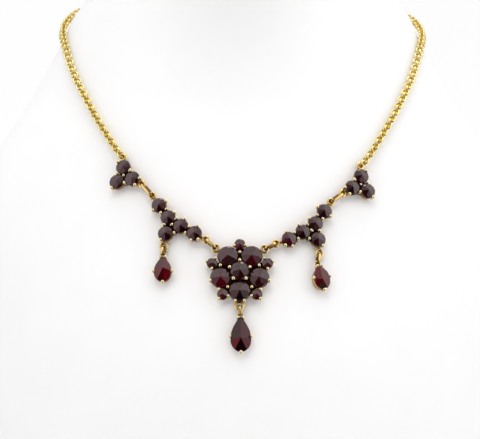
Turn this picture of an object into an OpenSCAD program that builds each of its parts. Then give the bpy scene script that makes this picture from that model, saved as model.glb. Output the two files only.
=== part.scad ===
// Garnet necklace: a rosette of rose-cut stones between two branches and two
// trefoils, three pear drops and a belcher chain, laid round a plain neck bust.
// Millimetres. The front faces -Y, up is +Z, the origin is the middle of the base.

/* [Stones] */
// Diameter of the rosette's centre stone
centre_d = 5.6; // [5.4:0.1:5.7]
// Diameter of the five petal stones round it
petal_d = 6.1; // [5.9:0.1:6.2]
// Diameter of the five small stones between the petals
small_d = 3.2; // [3:0.1:3.3]
// Diameter of the branch and trefoil stones
round_d = 4.5; // [4.3:0.1:4.5]
// Width of the centre drop's pear stone
drop_w = 6; // [5.7:0.1:6.2]
// Length of the centre drop's pear stone
drop_l = 10.3; // [9.9:0.1:10.5]
// Width of the side drops' pear stones
side_drop_w = 5.2; // [5:0.1:5.3]
// Length of the side drops' pear stones
side_drop_l = 7.6; // [7.4:0.1:7.8]
// Height of a stone's edge below its facets
girdle_h = 0.25; // [0.2:0.05:0.3]

/* [Settings] */
// Height of the collet walls under the stones
collet_h = 1.6; // [1.4:0.1:1.8]
// Thickness of the collet walls
collet_wall = 0.4; // [0.3:0.05:0.5]
// Thickness of the pierced plate that joins the collets
plate_t = 0.5; // [0.4:0.1:0.6]
// How far the centre stone stands above the petals
centre_rise = 1; // [0.8:0.1:1.2]
// Diameter of the claw wires
claw_d = 0.52; // [0.44:0.02:0.54]
// Diameter of the bead that closes each claw
bead_d = 0.96; // [0.8:0.02:1]

/* [Links] */
// Wire diameter of the links between the pieces
wire_d = 0.64; // [0.58:0.02:0.66]
// Wire diameter of the soldered rings
ring_wire_d = 0.76; // [0.66:0.02:0.78]
// Clear space between a link and the wire that it holds
link_gap = 0.08; // [0.06:0.01:0.1]

/* [Chain] */
// Width of the belcher chain
chain_w = 2.5; // [2.3:0.1:2.6]
// Length of the clasp's barrel
clasp_l = 6; // [5:0.5:7]

/* [Bust] */
// Height of the bust
bust_h = 206; // [202:1:214]
// Space between the jewel and the bust
bust_gap = 0.3; // [0.2:0.05:0.4]

/* [Hidden] */
fit = 0.05;                       // gap between a stone and its collet
stone_z = collet_h + fit;         // underside of the stones
ring_z = 1.1;                     // height of the soldered rings' wire over the back of a setting
$fn = 48;

// ---------- the bust's form: one row for each height ----------
// height, half width, depth in front, depth behind
sections = [
    [0,           74,   64,   39],
    [4,           76,   66.5, 41],
    [25,          81,   71.5, 44],
    [50,          85,   71.5, 47],
    [70,          86.5, 66.5, 49],
    [90,          85,   59.3, 50.5],
    [110,         78,   52.3, 51.5],
    [130,         65.5, 45.3, 52],
    [150,         54.9, 40.3, 51.5],
    [155,         52.6, 39.4, 51.3],
    [160,         49,   38.7, 51],
    [166,         47,   38.3, 50.7],
    [175,         46.2, 38,   50.3],
    [bust_h - 6,  45.5, 37.8, 49.5],
    [bust_h,      42.5, 35,   46.5]];
HALF_W = 1; FRONT = 2; BACK = 3;  // columns of the table above

function step(tab, i, c) = (tab[i + 1][c] - tab[i][c]) / (tab[i + 1][0] - tab[i][0]);
function tangent(tab, i, c) = i <= 0 ? step(tab, 0, c) : i >= len(tab) - 1 ? step(tab, len(tab) - 2, c) :
    (step(tab, i, c) * (tab[i][0] - tab[i - 1][0]) + step(tab, i - 1, c) * (tab[i + 1][0] - tab[i][0]))
    / (tab[i + 1][0] - tab[i - 1][0]);
function row_of(tab, z, i = 0) = i < len(tab) - 2 && z >= tab[i + 1][0] ? row_of(tab, z, i + 1) : i;
// a smooth curve through one column of a table, at the height z of its first column
function along(tab, z, c) = let (i = row_of(tab, z), h = tab[i + 1][0] - tab[i][0], s = (z - tab[i][0]) / h)
    (2 * s^3 - 3 * s^2 + 1) * tab[i][c] + (s^3 - 2 * s^2 + s) * h * tangent(tab, i, c)
    + (3 * s^2 - 2 * s^3) * tab[i + 1][c] + (s^3 - s^2) * h * tangent(tab, i + 1, c);

// a point round the bust: t is 0 in front, 90 at the side and 180 behind; side is -1 left, 1 right
function round_bust(t, z, off, side) = [
    side * (along(sections, z, HALF_W) + off) * sin(t),
    -(along(sections, z, t < 90 ? FRONT : BACK) + off) * cos(t), z];

levels = concat([0, 1.5, 4], [for (z = [10:6:bust_h - 10]) z], [bust_h - 6, bust_h - 3.5, bust_h - 1.5, bust_h]);
around = 60;

// a closed skin over rings of equal length, listed upwards, each turning the same way
module skin(rings) {
    m = len(rings[0]);
    n = len(rings);
    polyhedron(points = [for (r = rings) each r], faces = concat(
        [[for (k = [0:m - 1]) k]], [[for (k = [m - 1:-1:0]) (n - 1) * m + k]],
        [for (i = [0:n - 2], k = [0:m - 1], h = [0, 1]) let (a = i * m + k, b = i * m + (k + 1) % m)
            h == 0 ? [a, b + m, b] : [a, a + m, b + m]]), convexity = 4);
}

module bust() color("white")
    skin([for (z = levels) [for (k = [0:around - 1]) let (t = -k * 360 / around)
        [along(sections, z, HALF_W) * sin(t), -along(sections, z, cos(t) > 0 ? FRONT : BACK) * cos(t), z]]]);

// ---------- seats: a flat frame tangent to the bust's front ----------
function unit(v) = v / norm(v);
function bust_y(x, z) = -along(sections, z, FRONT) * sqrt(1 - (x / along(sections, z, HALF_W))^2);
function bust_out(x, z) = unit([2 * (bust_y(x + 0.25, z) - bust_y(x - 0.25, z)), -1, 2 * (bust_y(x, z + 0.25) - bust_y(x, z - 0.25))]);
// x, height on the bust, turn in its own plane, turn to the right about the upright, extra distance off the bust
rosette_seat = [-0.55, 75.8, 0, 0, 0];
branch_seats = [[-19.6, 89.9, -1.6, 0, 0], [19.6, 88.15, 1.6, 0, 0]];
trefoil_seats = [[-34.1, 103.85, 0, 0, 0], [34.4, 101.15, 0, 0, 0]];
drop_seats = [[-0.25, 56.55, 1, 0, 0], [-22.75, 75.75, 1.4, 8, 0.25], [22.4, 73.8, 4.2, 12, 0.45]];

// columns of the frame: right, up, out, place
function seat(p) = let (m = bust_out(p[0], p[1]), c = cos(p[3]), s = sin(p[3]), n = [m[0] * c - m[1] * s, m[0] * s + m[1] * c, m[2]],
    r = unit(cross([0, 0, 1], n)), u = cross(n, r),
    e = r * cos(p[2]) + u * sin(p[2]), v = u * cos(p[2]) - r * sin(p[2]),
    o = [p[0], bust_y(p[0], p[1]), p[1]] + m * (bust_gap + p[4]))
    [for (i = [0:2]) [e[i], v[i], n[i], o[i]]];
function in_seat(p, q) = let (m = seat(p)) [for (i = [0:2]) m[i][0] * q[0] + m[i][1] * q[1] + m[i][2] * q[2] + m[i][3]];
module on_seat(p) multmatrix(concat(seat(p), [[0, 0, 0, 1]])) children();

// ---------- stones ----------
function ring_of(r, n, turn = 0) = [for (k = [0:n - 1]) [r * cos(turn + k * 360 / n), r * sin(turn + k * 360 / n)]];
// a pear's outline; tip and foot are its lengths above and below its widest line,
// full says how full its sides are above that line; below it the outline is half an ellipse
function pear(w, tip, foot, full, n = 20) = [for (k = [0:n - 1]) let (a = k * 360 / n)
    [a <= 180 ? sign(round(1000 * cos(a))) * w / 2 * (1 - abs(sin(a))^full) : w / 2 * cos(a), (a <= 180 ? tip : foot) * sin(a)]];

// rose cut: flat back, upright edge, a lower row of facets and a star of facets up to one point
module rose_cut(edge, h) {
    n = len(edge) / 2;
    m = 2 * n;
    pts = concat([for (p = edge) [p[0], p[1], 0]], [for (p = edge) [p[0], p[1], girdle_h]],
        [for (k = [0:n - 1]) [edge[2 * k][0] * 0.72, edge[2 * k][1] * 0.72, girdle_h + h * 0.58]], [[0, 0, girdle_h + h]]);
    polyhedron(pts, faces = concat([[for (k = [0:m - 1]) k]],
        [for (k = [0:m - 1]) let (b = (k + 1) % m) [k, k + m, b + m, b]],
        [for (k = [0:n - 1]) [2 * m + k, m + 2 * k, m + (2 * k + m - 1) % m]],
        [for (k = [0:n - 1]) [2 * m + k, m + 2 * k + 1, m + 2 * k]],
        [for (k = [0:n - 1]) [2 * m + k, 2 * m + (k + 1) % n, m + 2 * k + 1]],
        [for (k = [0:n - 1]) [2 * m + k, 2 * m + n, 2 * m + (k + 1) % n]]), convexity = 2);
}
module stone(p, at, d, h, turn = 0, z = stone_z) color("#5a0712")
    on_seat(p) translate([at[0], at[1], z]) rose_cut(ring_of(d / 2, 12, turn), h);

// ---------- gold work, in a seat's frame ----------
collet_in = 0.42;                 // how much narrower a collet is at its foot
function collet_r(d, top, z) = d / 2 - 0.06 - collet_in * (1 - z / top);
module collet(at, d, top = collet_h) translate([at[0], at[1], 0]) {
    cylinder(h = plate_t, r = d / 2 - 0.3);
    difference() {
        translate([0, 0, 0.1]) cylinder(h = top - 0.1, r1 = collet_r(d, top, 0.1), r2 = collet_r(d, top, top));
        translate([0, 0, plate_t + 0.2]) cylinder(h = top, r1 = collet_r(d, top, plate_t + 0.2) - collet_wall,
            r2 = collet_r(d, top, plate_t + 0.2 + top) - collet_wall);
    }
}
// a flat bar of the plate from one collet to the next
module bar(a, b, w) translate([a[0], a[1], 0]) rotate(atan2(b[1] - a[1], b[0] - a[0])) translate([0, -w / 2, 0]) cube([norm(b - a), w, plate_t]);
// a claw stands at the point at, and its bead leans by lean
module claw(at, z = stone_z, lean = [0, 0], bead = bead_d) {
    translate([at[0], at[1], plate_t / 2]) cylinder(h = z + girdle_h + 0.3 - plate_t / 2, d = claw_d);
    translate([at[0] + lean[0], at[1] + lean[1], z + girdle_h + bead / 2 + 0.12]) sphere(d = bead);
}
// a claw at the outer edge of a stone, on an arm from the collet's foot
module edge_claw(at, d, a, z = stone_z, bead = bead_d) {
    r = d / 2 + claw_d / 2 + 0.04;
    translate([at[0], at[1], 0.08]) rotate(a) translate([d / 2 - 0.75, -0.18, 0]) cube([r - d / 2 + 0.75, 0.36, plate_t - 0.16]);
    claw([at[0] + r * cos(a), at[1] + r * sin(a)], z, [-0.16 * cos(a), -0.16 * sin(a)], bead);
}
module ring(at, r, z = ring_z, wire = ring_wire_d) translate([at[0], at[1], z]) rotate_extrude() translate([r, 0]) circle(d = wire);
// a ring on a short post that grows out of the collet of width d at from
module tied_ring(from, d, at, r, z = ring_z, wire = ring_wire_d) {
    v = [at[0] - from[0], at[1] - from[1]];
    ring(at, r, z, wire);
    translate([from[0], from[1], z]) rotate([0, 90, atan2(v[1], v[0])]) translate([0, 0, d / 2 - 0.6])
        cylinder(h = norm(v) - r - d / 2 + 0.6, d = wire * 0.9);
}

// ---------- rosette ----------
petal_r = 5.9;                    // petal stones' distance from the middle
small_r = 8.45;                   // small stones' distance from the middle
function polar(r, a) = [r * cos(a), r * sin(a)];
function petal_at(k) = polar(petal_r, 54 + 72 * k);
function petal_size(k) = petal_d + [0.15, 0, -0.1, 0.2, -0.1][k];
function small_at(k) = polar(small_r, 90 + 72 * k);
rosette_rings = [[-7, 7.45], [7.2, 7.2]];            // the side rings, left and right
rosette_ring_r = 1;
rosette_loop = [-0.1, -10.05];    // the loop for the centre drop
rosette_loop_r = 1.12;

module rosette_setting() color("gold") on_seat(rosette_seat) {
    union() {
        collet([0, 0], centre_d, collet_h + centre_rise);
        for (k = [0:4]) { collet(petal_at(k), petal_size(k)); collet(small_at(k), small_d); bar([0, 0], small_at(k), 2.4); }
        for (k = [0:4]) {
            claw(polar(centre_d / 2 + claw_d / 2 + 0.05, 90 + 72 * k), stone_z + centre_rise);
            claw(polar(petal_r, 90 + 72 * k));
            edge_claw(small_at(k), small_d, 90 + 72 * k, stone_z, bead_d * 0.9);
            for (s = [-1, 1]) edge_claw(small_at(k), small_d, 90 + 72 * k + s * 106, stone_z, bead_d * 0.9);
        }
        for (k = [2, 4]) edge_claw(petal_at(k), petal_size(k), 54 + 72 * k);
        for (s = [-1, 1]) edge_claw(petal_at(3), petal_size(3), 270 + s * 24);
        for (s = [0, 1]) tied_ring(petal_at(s), petal_size(s), rosette_rings[1 - s], rosette_ring_r);
        tied_ring(petal_at(3), petal_size(3), rosette_loop, rosette_loop_r);
    }
}
module rosette_stone_centre() stone(rosette_seat, [0, 0], centre_d, 1.35, 10, stone_z + centre_rise);
module rosette_petal(k) stone(rosette_seat, petal_at(k - 1), petal_size(k - 1), 1.4, [20, 10, 28, 0, 12][k - 1]);
module rosette_small(k) stone(rosette_seat, small_at(k - 1), small_d, 0.85, [0, 15, 8, 20, 10][k - 1]);

// ---------- branches: drawn for the left, mirrored for the right ----------
// stone centres: across, up
branch_stones = [[-4.8, 5.4], [-1.75, 1.65], [2.2, -0.8], [-2.1, -3.25], [6.45, -2.95]];
// bars between neighbours
branch_bars = [[1, 2], [2, 3], [2, 4], [3, 4], [3, 5]];
// claws between stones: across, up
branch_between = [[-4, 2.95], [-2.4, 4.15], [0.8, 1.35], [-2.75, -0.72], [-0.38, -0.6], [4.75, -1], [3.8, -3], [0.55, -3.05]];
// claws at an outer edge: stone, direction
branch_outer = [[1, 32], [1, 226], [2, 41], [3, 62], [4, 240], [5, 70], [5, 252], [5, 305]];
branch_ring_r = 0.88;
// outer and inner ring of the left branch, then of the right one
branch_rings = [[[-7.25, 8.6], [9.9, -4.6]], [[-7.1, 8.5], [10.35, -3.95]]];
branch_loops = [[-2.35, -7.05], [-2.2, -7.3]];       // carry the side drops
branch_loop_r = 1.0;

function mirrored(s, q) = [-s * q[0], q[1]];         // s is -1 for the left, 1 for the right
function branch_ring(s, k) = mirrored(s, branch_rings[s < 0 ? 0 : 1][k]);
function branch_loop(s) = mirrored(s, branch_loops[s < 0 ? 0 : 1]);
module branch_setting(s) color("gold") on_seat(branch_seats[s < 0 ? 0 : 1]) {
    union() {
        for (c = branch_stones) collet(mirrored(s, c), round_d);
        for (c = branch_bars) bar(mirrored(s, branch_stones[c[0] - 1]), mirrored(s, branch_stones[c[1] - 1]), 2.1);
        translate([0.55 * s, -0.8]) cylinder(h = plate_t, r = 1.1);
        for (c = branch_between) claw(mirrored(s, c));
        for (c = branch_outer) edge_claw(mirrored(s, branch_stones[c[0] - 1]), round_d, s < 0 ? c[1] : 180 - c[1]);
        for (k = [0, 1]) tied_ring(mirrored(s, branch_stones[4 * k]), round_d, branch_ring(s, k), branch_ring_r);
        tied_ring(mirrored(s, branch_stones[3]), round_d, branch_loop(s), branch_loop_r);
    }
}
module branch_stone(s, k) stone(branch_seats[s < 0 ? 0 : 1], mirrored(s, branch_stones[k - 1]), round_d, 1.15, [0, 12, 6, 18, 24][k - 1]);

// ---------- trefoils ----------
trefoil_r = 2.8;                  // stones' distance from the middle
trefoil_turn = 102;
trefoil_ring_r = 0.88;
// to the chain and to the branch, for the left trefoil, then for the right one
trefoil_rings = [[[-1.35, 6.1], [5.6, -2.35]], [[-0.9, 6.15], [5.6, -2.35]]];
function trefoil_ring(s, k) = mirrored(s, trefoil_rings[s < 0 ? 0 : 1][k]);
function trefoil_at(k) = polar(trefoil_r, trefoil_turn - 120 * k);
// claws at an outer edge: stone, direction
trefoil_outer = [[1, 140], [2, 0], [2, 300], [3, 238]];

module trefoil_setting(s) color("gold") on_seat(trefoil_seats[s < 0 ? 0 : 1]) {
    union() {
        for (k = [0:2]) collet(mirrored(s, trefoil_at(k)), round_d);
        cylinder(h = plate_t, r = 1.7);
        claw([0, 0]);
        for (k = [0:2]) let (c = mirrored(s, polar(2.36, trefoil_turn + 60 - 120 * k))) { bar([0, 0], c, 1.4); claw(c); }
        for (c = trefoil_outer) edge_claw(mirrored(s, trefoil_at(c[0] - 1)), round_d, s < 0 ? c[1] : 180 - c[1]);
        for (k = [0, 1]) tied_ring(mirrored(s, trefoil_at(k)), round_d, trefoil_ring(s, k), trefoil_ring_r);
    }
}
module trefoil_stone(s, k) stone(trefoil_seats[s < 0 ? 0 : 1], mirrored(s, trefoil_at(k - 1)), round_d, 1.15, [10, 0, 20][k - 1]);

// ---------- pear drops: the origin is on the widest line ----------
// width, length above the widest line, length below it, height of the facets, fullness of the sides
drop_sizes = [
    [drop_w,      drop_l * 0.667,             drop_l * 0.333,             1.6,  2.1],
    [side_drop_w, (side_drop_l + 0.2) * 0.61, (side_drop_l + 0.2) * 0.39, 1.35, 2.05],
    [side_drop_w, (side_drop_l - 0.2) * 0.55, (side_drop_l - 0.2) * 0.45, 1.35, 2]];
drop_ring_r = 0.72;
drop_ring_z = 1.08;
drop_ring_wire = 0.48;
drop_ring_up = [0.6, 0.6, 0.65];  // the rings' middles above the tips
claw_up = [1.1, 0.15, 0.35];      // the side claws' height above the widest line
function drop_ring(i) = [0, drop_sizes[i][1] + drop_ring_up[i]];
module drop_setting(i) {
    w = drop_sizes[i][0];
    tip = drop_sizes[i][1];
    foot = drop_sizes[i][2];
    full = drop_sizes[i][4];
    t = collet_wall;
    claw_x = w / 2 * (1 - (1 - 0.3 / tip)^full) + claw_d / 2 + 0.28;
    color("gold") on_seat(drop_seats[i]) {
        union() {
            linear_extrude(plate_t) polygon(pear(w - 0.36, tip - 0.4, foot - 0.24, full));
            translate([0, 0, plate_t / 2]) linear_extrude(collet_h - plate_t / 2) difference() {
                polygon(pear(w - 0.2, tip - 0.22, foot - 0.12, full));
                polygon(pear(w - 0.2 - 2 * t, tip - 0.22 - 2.4 * t, foot - 0.12 - t, full));
            }
            for (a = [0, 180]) edge_claw([0, claw_up[i]], w * (1 - (claw_up[i] / tip)^full), a);
            edge_claw([0, 0], 2 * foot, 270);
            for (s = [-1, 1]) { bar([0, tip - 1.5], [s * claw_x, tip - 0.3], 0.6); claw([s * claw_x, tip - 0.3], stone_z, [-0.12 * s, 0.05], bead_d * 0.85); }
            tied_ring([0, tip - 1.3], 1.2, drop_ring(i), drop_ring_r, drop_ring_z, drop_ring_wire);
        }
    }
}
module drop_stone(i) color("#7a1018") on_seat(drop_seats[i]) translate([0, 0, stone_z])
    rose_cut(pear(drop_sizes[i][0], drop_sizes[i][1], drop_sizes[i][2], drop_sizes[i][4]), drop_sizes[i][3]);

// ---------- links: a long ring on edge that holds two soldered rings ----------
// from and to are points on the two rings' wires, wires their thicknesses, out is the way off the bust, roll a turn about the link's length
module link(from, to, wires, out, roll) {
    d = unit(to - from);
    a = from - d * ((wires[0] + wire_d) / 2 + link_gap);
    b = to + d * ((wires[1] + wire_d) / 2 + link_gap);
    half = round(50 * norm(b - a)) / 100;
    mid = (a + b) / 2;
    p = unit(out - d * (out * d));
    o = p * cos(roll) + cross(d, p) * sin(roll);
    x = cross(d, o);
    r = min(half, 0.84);
    straight = half - r;
    color("gold") multmatrix([for (i = [0:2]) [d[i], o[i], x[i], mid[i]]])
        if (straight < 0.05) rotate_extrude() translate([half, 0]) circle(d = wire_d);
        else union() {
            for (e = [-1, 1]) translate([e * straight, 0, 0]) rotate(e < 0 ? 90 : -90) rotate_extrude(angle = 180) translate([r, 0]) circle(d = wire_d);
            for (e = [-1, 1]) translate([-straight, e * r, 0]) rotate([0, 90, 0]) cylinder(h = 2 * straight, d = wire_d);
        }
}
// a soldered ring: its seat, its place in the seat's frame, its radius, its wire
function branch_end(s, k) = [branch_seats[s < 0 ? 0 : 1], concat(branch_ring(s, k), ring_z), branch_ring_r, ring_wire_d];
function trefoil_end(s, k) = [trefoil_seats[s < 0 ? 0 : 1], concat(trefoil_ring(s, k), ring_z), trefoil_ring_r, ring_wire_d];
function rosette_end(s) = [rosette_seat, concat(rosette_rings[s < 0 ? 0 : 1], ring_z), rosette_ring_r, ring_wire_d];
function branch_hang(s) = [branch_seats[s < 0 ? 0 : 1], concat(branch_loop(s), ring_z), branch_loop_r, ring_wire_d];
function drop_end(i) = [drop_seats[i], concat(drop_ring(i), drop_ring_z), drop_ring_r, drop_ring_wire];
rosette_hang = [rosette_seat, concat(rosette_loop, ring_z), rosette_loop_r, ring_wire_d];
// the point of ring p's wire that is nearest to ring q
function wire_point(p, q) = let (m = seat(p[0]), n = [m[0][2], m[1][2], m[2][2]], c = in_seat(p[0], p[1]), v = in_seat(q[0], q[1]) - c)
    c + p[2] * unit(v - n * (n * v));
module join_rings(p, q, out, roll = 0) link(wire_point(p, q), wire_point(q, p), [p[3], q[3]], out, roll);

module link_rosette(s) join_rings(branch_end(s, 1), rosette_end(s), bust_out(s * 10, 84));
module link_trefoil(s) join_rings(trefoil_end(s, 1), branch_end(s, 0), bust_out(s * 28, 99), -s * 15);
module link_drop_centre() join_rings(rosette_hang, drop_end(0), bust_out(0, 65));
module link_drop_side(s) join_rings(branch_hang(s), drop_end(s < 0 ? 1 : 2), bust_out(s * 22, 83), -s * 11);

// ---------- chain and clasp ----------
// way round the bust, height, extra distance off the bust
left_route = [[27.2, 111.15, 0], [35, 120, 0], [45, 129.4, 0], [56, 137.9, 0], [67, 144.9, 0], [78, 149.3, 0.05], [90, 153.1, 0.2],
    [100, 157.1, 0.5], [112, 160, 0.4], [127, 162.5, 0.1], [142, 164.5, 0], [157, 165.8, 0], [173, 166.3, 0]];
right_route = [[26.7, 108.4, 0], [35, 118.3, 0], [45, 127.8, 0], [56, 136.6, 0], [67, 143.7, 0], [78, 148.1, 0.05], [90, 151.5, 0.25],
    [100, 155, 0.7], [112, 158.7, 0.6], [127, 162, 0.1], [142, 164.3, 0], [157, 165.8, 0], [173, 166.3, 0]];
chain_off = chain_w / 2 + bust_gap;
// the route as a smooth curve through its rows, u counting the rows
function route_at(rt, u, c) = let (i = min(floor(u), len(rt) - 2), s = u - i,
    a = rt[max(i - 1, 0)][c], b = rt[i][c], e = rt[i + 1][c], f = rt[min(i + 2, len(rt) - 1)][c],
    m = (e - a) / (i > 0 ? 2 : 1), n = (f - b) / (i < len(rt) - 2 ? 2 : 1))
    (2 * s^3 - 3 * s^2 + 1) * b + (s^3 - 2 * s^2 + s) * m + (3 * s^2 - 2 * s^3) * e + (s^3 - s^2) * n;
function route_point(rt, u, side) = round_bust(route_at(rt, u, 0), route_at(rt, u, 1), chain_off + route_at(rt, u, 2), side);

module chain(rt, side) color("gold") {
    steps = 3 * (len(rt) - 1);
    path = [for (k = [0:steps]) route_point(rt, k / 3, side)];
    skin([for (k = [0:steps]) let (d = unit(path[min(k + 1, steps)] - path[max(k - 1, 0)]),
        e = unit(cross([0, 0, 1], d)), g = cross(d, e))
        [for (j = [0:7]) let (a = -j * 45) path[k] + chain_w / 2 * (e * cos(a) + g * sin(a))]]);
}
clasp_z = 166.3;
clasp_y = along(sections, clasp_z, BACK) + chain_off + 0.3;
module clasp() color("gold") translate([0, clasp_y, clasp_z]) rotate([0, 90, 0]) {
    union() {
        cylinder(h = clasp_l, d = 2.6, center = true);
        for (e = [-1, 1]) translate([0, 0, e * (clasp_l / 2 + 0.65)]) rotate([90, 0, 0]) rotate_extrude() translate([0.8, 0]) circle(d = 0.6);
    }
}

bust();
rosette_setting();
rosette_stone_centre();
for (k = [1:5]) {
    rosette_petal(k);
    rosette_small(k);
}
for (s = [-1, 1]) {
    side = s < 0 ? "left" : "right";
    branch_setting(s);
    for (k = [1:5]) branch_stone(s, k);
    trefoil_setting(s);
    for (k = [1:3]) trefoil_stone(s, k);
    link_rosette(s);
    link_trefoil(s);
    link_drop_side(s);
}
link_drop_centre();
for (i = [0:2]) {
    which = ["centre", "left", "right"][i];
    drop_setting(i);
    drop_stone(i);
}
chain(left_route, -1);  // chain_left
chain(right_route, 1);  // chain_right
clasp();
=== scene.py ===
import math
import random

import bmesh
import bpy
import numpy as np
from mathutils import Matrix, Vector


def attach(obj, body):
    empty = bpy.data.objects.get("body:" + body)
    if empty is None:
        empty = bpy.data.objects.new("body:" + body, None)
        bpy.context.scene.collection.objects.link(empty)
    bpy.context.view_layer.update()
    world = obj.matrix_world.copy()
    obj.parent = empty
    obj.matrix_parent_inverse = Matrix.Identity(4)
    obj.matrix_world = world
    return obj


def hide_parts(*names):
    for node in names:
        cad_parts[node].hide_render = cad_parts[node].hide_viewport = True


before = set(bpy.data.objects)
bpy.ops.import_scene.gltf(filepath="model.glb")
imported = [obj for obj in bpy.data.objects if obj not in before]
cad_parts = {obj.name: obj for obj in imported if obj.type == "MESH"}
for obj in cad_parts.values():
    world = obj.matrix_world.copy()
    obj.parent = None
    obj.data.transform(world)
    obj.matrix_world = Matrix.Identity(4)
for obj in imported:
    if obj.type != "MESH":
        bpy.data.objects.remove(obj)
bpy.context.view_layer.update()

MM = 0.001
rng = random.Random(41)


def wander(a):
    """a seeded number between -a and a"""
    return rng.uniform(-a, a)


# ------------------------------------------------------------------ sizes, in millimetres, as in the construction
CENTRE_D, PETAL_D, SMALL_D, ROUND_D = 5.6, 6.1, 3.2, 4.5
GIRDLE = 0.25
COLLET_H = 1.6
STONE_Z = COLLET_H + 0.05
RISE = 1.0
PLATE = 0.5
CLAW_D = 0.52
BEAD_D = 0.96
WIRE_D = 0.7
LINK_FLAT = 1.35                                           # the links are of flattened wire
RING_WIRE = 0.86
LINK_GAP = 0.05
RING_Z = 1.1
CHAIN_W = 2.5
BUST_H = 206.0
BUST_GAP = 0.3

SECTIONS = [
    (0, 74, 64, 39), (4, 76, 66.5, 41), (25, 81, 71.5, 44), (50, 85, 71.5, 47), (70, 86.5, 66.5, 49),
    (90, 85, 59.3, 50.5), (110, 78, 52.3, 51.5), (130, 65.5, 45.3, 52), (150, 54.9, 40.3, 51.5),
    (155, 52.6, 39.4, 51.3), (160, 49, 38.7, 51), (166, 47, 38.3, 50.7), (175, 46.2, 38, 50.3),
    (BUST_H - 6, 45.5, 37.8, 49.5), (BUST_H, 42.5, 35, 46.5)]
HALF_W, FRONT, BACK = 1, 2, 3


def step(i, c):
    return (SECTIONS[i + 1][c] - SECTIONS[i][c]) / (SECTIONS[i + 1][0] - SECTIONS[i][0])


def tangent(i, c):
    if i <= 0:
        return step(0, c)
    if i >= len(SECTIONS) - 1:
        return step(len(SECTIONS) - 2, c)
    return (step(i, c) * (SECTIONS[i][0] - SECTIONS[i - 1][0]) + step(i - 1, c) * (SECTIONS[i + 1][0] - SECTIONS[i][0])) / (
        SECTIONS[i + 1][0] - SECTIONS[i - 1][0])


def along(z, c):
    i = 0
    while i < len(SECTIONS) - 2 and z >= SECTIONS[i + 1][0]:
        i += 1
    h = SECTIONS[i + 1][0] - SECTIONS[i][0]
    s = (z - SECTIONS[i][0]) / h
    return ((2 * s**3 - 3 * s**2 + 1) * SECTIONS[i][c] + (s**3 - 2 * s**2 + s) * h * tangent(i, c)
            + (3 * s**2 - 2 * s**3) * SECTIONS[i + 1][c] + (s**3 - s**2) * h * tangent(i + 1, c))


def unit(v):
    v = np.asarray(v, float)
    return v / np.linalg.norm(v)


def polar(r, a):
    return np.array([r * math.cos(math.radians(a)), r * math.sin(math.radians(a))])


def bust_y(x, z):
    return -along(z, FRONT) * math.sqrt(1 - (x / along(z, HALF_W)) ** 2)


def bust_out(x, z):
    return unit([2 * (bust_y(x + 0.25, z) - bust_y(x - 0.25, z)), -1, 2 * (bust_y(x, z + 0.25) - bust_y(x, z - 0.25))])


def round_bust(t, z, off, side):
    t = math.radians(t)
    return np.array([side * (along(z, HALF_W) + off) * math.sin(t),
                     -(along(z, FRONT if t < math.pi / 2 else BACK) + off) * math.cos(t), z])


class Seat:
    """a flat frame tangent to the bust's front: right, up, out and a place"""

    def __init__(self, x, z, turn, yaw=0.0, lift=0.0):
        m = bust_out(x, z)
        c, s = math.cos(math.radians(yaw)), math.sin(math.radians(yaw))
        self.n = np.array([m[0] * c - m[1] * s, m[0] * s + m[1] * c, m[2]])
        r = unit(np.cross([0, 0, 1], self.n))
        u = np.cross(self.n, r)
        c, s = math.cos(math.radians(turn)), math.sin(math.radians(turn))
        self.e = r * c + u * s
        self.v = u * c - r * s
        self.o = np.array([x, bust_y(x, z), z]) + m * (BUST_GAP + lift)

    def __call__(self, p):
        p = np.atleast_2d(np.asarray(p, float))
        q = self.o + p[:, :1] * self.e + p[:, 1:2] * self.v + p[:, 2:3] * self.n
        return q

    def one(self, x, y, z):
        return self([x, y, z])[0]


ROSETTE = Seat(-0.55, 75.8, 0)
BRANCHES = {-1: Seat(-19.6, 89.9, -1.6), 1: Seat(19.6, 88.15, 1.6)}
TREFOILS = {-1: Seat(-34.1, 103.85, 0), 1: Seat(34.4, 101.15, 0)}
DROPS = [Seat(-0.25, 56.55, 1), Seat(-22.75, 75.75, 1.4, 8, 0.25), Seat(22.4, 73.8, 4.2, 12, 0.45)]
SIDES = {-1: "left", 1: "right"}

# ------------------------------------------------------------------ materials
def new_material(name, **sockets):
    m = bpy.data.materials.new(name)
    m.use_nodes = True
    b = m.node_tree.nodes["Principled BSDF"]
    for k, v in sockets.items():
        b.inputs[k.replace("_", " ")].default_value = v
    return m, m.node_tree, b


def node(tree, kind, **values):
    n = tree.nodes.new(kind)
    for k, v in values.items():
        if k.startswith("in_"):
            n.inputs[k[3:].replace("_", " ")].default_value = v
        else:
            setattr(n, k, v)
    return n


def ramp(tree, stops):
    n = tree.nodes.new("ShaderNodeValToRGB")
    e = n.color_ramp.elements
    while len(e) < len(stops):
        e.new(0.5)
    for k, (at, colour) in enumerate(stops):
        e[k].position = at
        e[k].color = (*colour, 1)
    return n


def noise(tree, scale, detail=2.0, rough=0.5):
    at = tree.nodes.new("ShaderNodeTexCoord")
    n = node(tree, "ShaderNodeTexNoise", in_Scale=scale, in_Detail=detail, in_Roughness=rough)
    tree.links.new(at.outputs["Object"], n.inputs["Vector"])
    return n


def bump(tree, b, height, strength, distance):
    n = node(tree, "ShaderNodeBump", in_Strength=strength, in_Distance=distance)
    tree.links.new(height, n.inputs["Height"])
    tree.links.new(n.outputs["Normal"], b.inputs["Normal"])


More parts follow.
